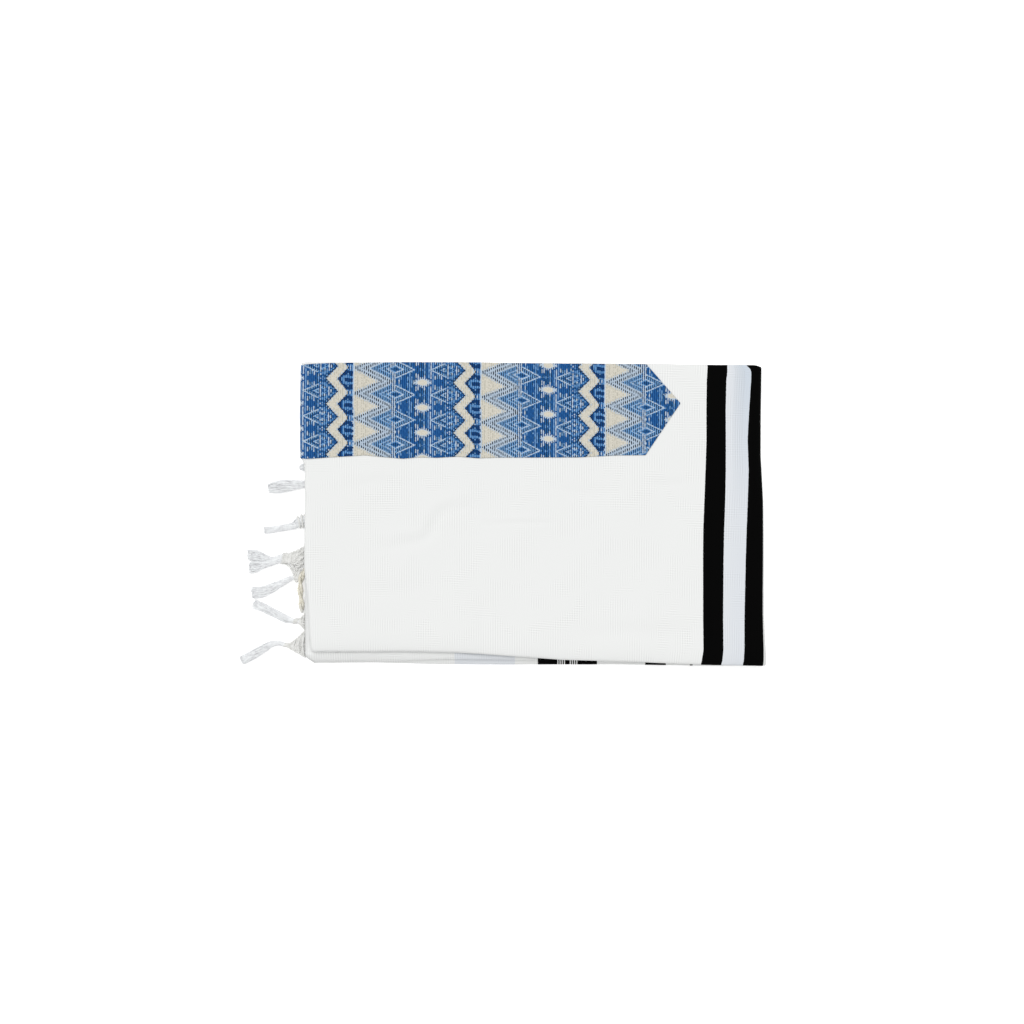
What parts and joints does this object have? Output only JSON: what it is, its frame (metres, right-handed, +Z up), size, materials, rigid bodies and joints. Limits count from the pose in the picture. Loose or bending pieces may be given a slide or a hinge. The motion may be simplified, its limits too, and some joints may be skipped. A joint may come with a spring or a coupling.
{
  "type": "folded prayer shawl",
  "caption": "Fringed prayer shawl folded flat into a rectangular packet, white cloth with black stripes, a patterned neckband and knotted tassels at one end.",
  "frame": {"origin": "middle of the packet, on the flat face that it rests on", "axes": "+X along the packet's length towards the striped fold, +Y towards the neckband, +Z up"},
  "size_m": [0.5281, 0.3043, 0.0203],
  "materials": {
    "white_cloth": "matt white open-weave cloth with woven black and pale blue stripes",
    "neckband": "blue and cream figured weave, matt with a slight thread sheen",
    "fringe": "brushed white yarn, matt",
    "corner_cord": "cream twisted wool, matt"
  },
  "bodies": {
    "root": {"outer_cloth": "white_cloth", "inner_folds": "white_cloth", "neckband": "neckband", "tassel_1": "fringe", "tassel_2": "fringe", "tassel_3": "fringe", "tassel_4": "fringe", "tassel_5": "fringe", "tassel_6": "fringe", "tassel_7": "fringe", "upper_net": "fringe", "corner_net": "fringe", "corner_cord": "corner_cord"}
  },
  "joints": []
}
